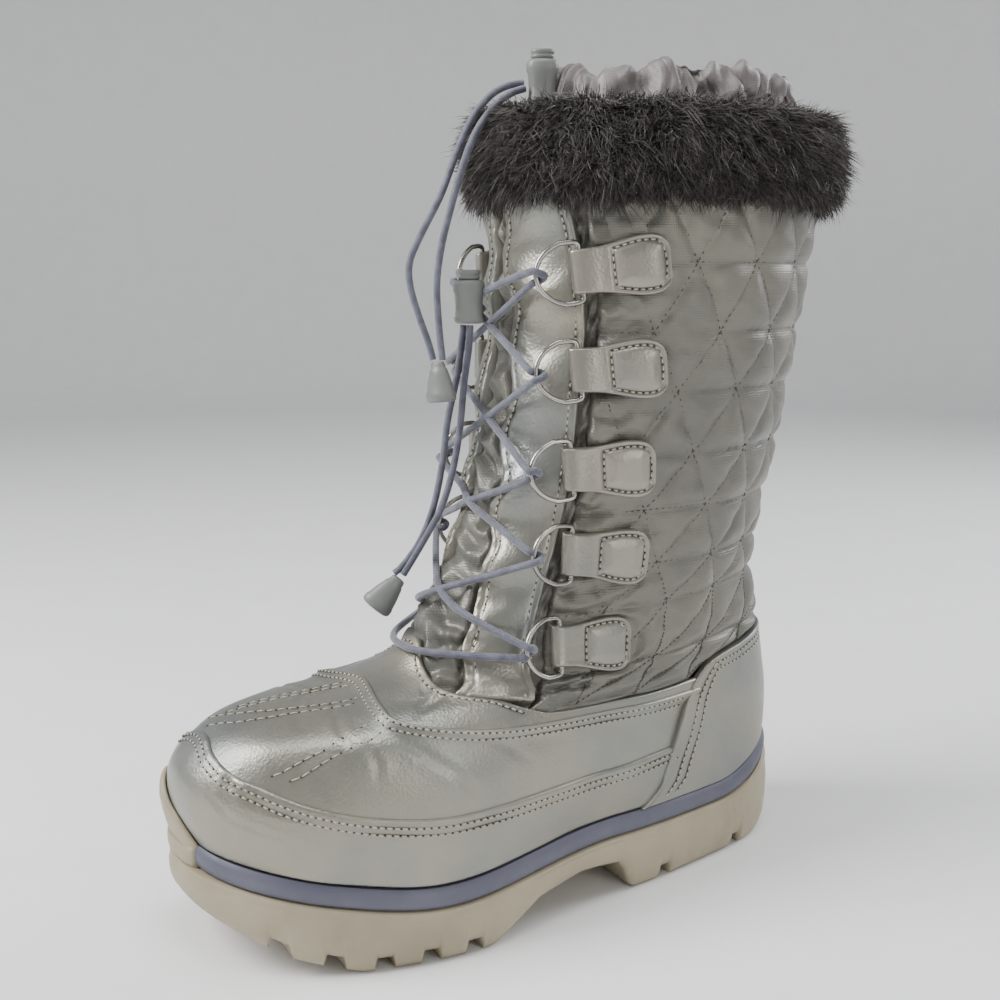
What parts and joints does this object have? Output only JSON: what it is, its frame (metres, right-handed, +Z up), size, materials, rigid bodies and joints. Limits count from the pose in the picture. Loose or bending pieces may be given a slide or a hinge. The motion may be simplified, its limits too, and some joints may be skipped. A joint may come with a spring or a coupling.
{
  "type": "snow boot",
  "caption": "Women's winter snow boot, left foot: quilted shaft with D-ring lacing, leather foot, fur collar, gathered snow cuff and rubber sole.",
  "frame": {"origin": "on the ground, under the middle of the heel", "axes": "+Z up, -Y towards the toe, +X towards the outer side of the foot"},
  "size_m": [0.1375, 0.2964, 0.3322],
  "materials": {
    "outsole": "matt sand rubber",
    "midsole": "matt blue-grey foam rubber",
    "insole": "felt",
    "leather": "pearly silver-grey leather",
    "nylon": "quilted nylon with a soft shine",
    "tab": "pearly champagne leather",
    "fur": "long dark faux fur",
    "cuff": "thin matt nylon",
    "steel": "plated wire",
    "cord": "round elastic cord",
    "plastic": "moulded grey plastic"
  },
  "bodies": {
    "boot": {"outsole": "outsole", "midsole": "midsole", "insole": "insole", "upper": "nylon", "tongue": "leather", "rand": "leather", "ankle_saddle": "leather", "heel_counter": "leather", "fur_collar": "fur", "snow_cuff": "cuff", "tab_lateral_1": "tab", "tab_lateral_2": "tab", "tab_lateral_3": "tab", "tab_lateral_4": "tab", "tab_lateral_5": "tab", "tab_medial_1": "tab", "tab_medial_2": "tab", "tab_medial_3": "tab", "tab_medial_4": "tab", "tab_medial_5": "tab", "d_ring_lateral_1": "steel", "d_ring_lateral_2": "steel", "d_ring_lateral_3": "steel", "d_ring_lateral_4": "steel", "d_ring_lateral_5": "steel", "d_ring_medial_1": "steel", "d_ring_medial_2": "steel", "d_ring_medial_3": "steel", "d_ring_medial_4": "steel", "d_ring_medial_5": "steel", "lace_cross_1": "cord", "lace_cross_2": "cord", "lace_cross_3": "cord", "lace_cross_4": "cord", "lace_bar": "cord", "lace_end_near": "cord", "lace_end_far": "cord", "lace_lock_body": "plastic", "lace_cord_end": "plastic", "cuff_cord_outer": "cord", "cuff_cord_inner": "cord", "cuff_lock_body": "plastic", "cuff_cord_end": "plastic"},
    "lace_lock_button": {"lace_lock_button": "plastic"},
    "cuff_lock_button": {"cuff_lock_button": "plastic"}
  },
  "joints": [
    {"name": "lace_lock_press", "type": "slide", "parent": "boot", "child": "lace_lock_button", "axis": [0, 0, -1], "range_m": [0, 0.003], "stiffness_N_per_m": 300},
    {"name": "cuff_lock_press", "type": "slide", "parent": "boot", "child": "cuff_lock_button", "axis": [0, 0, -1], "range_m": [0, 0.003], "stiffness_N_per_m": 300}
  ]
}
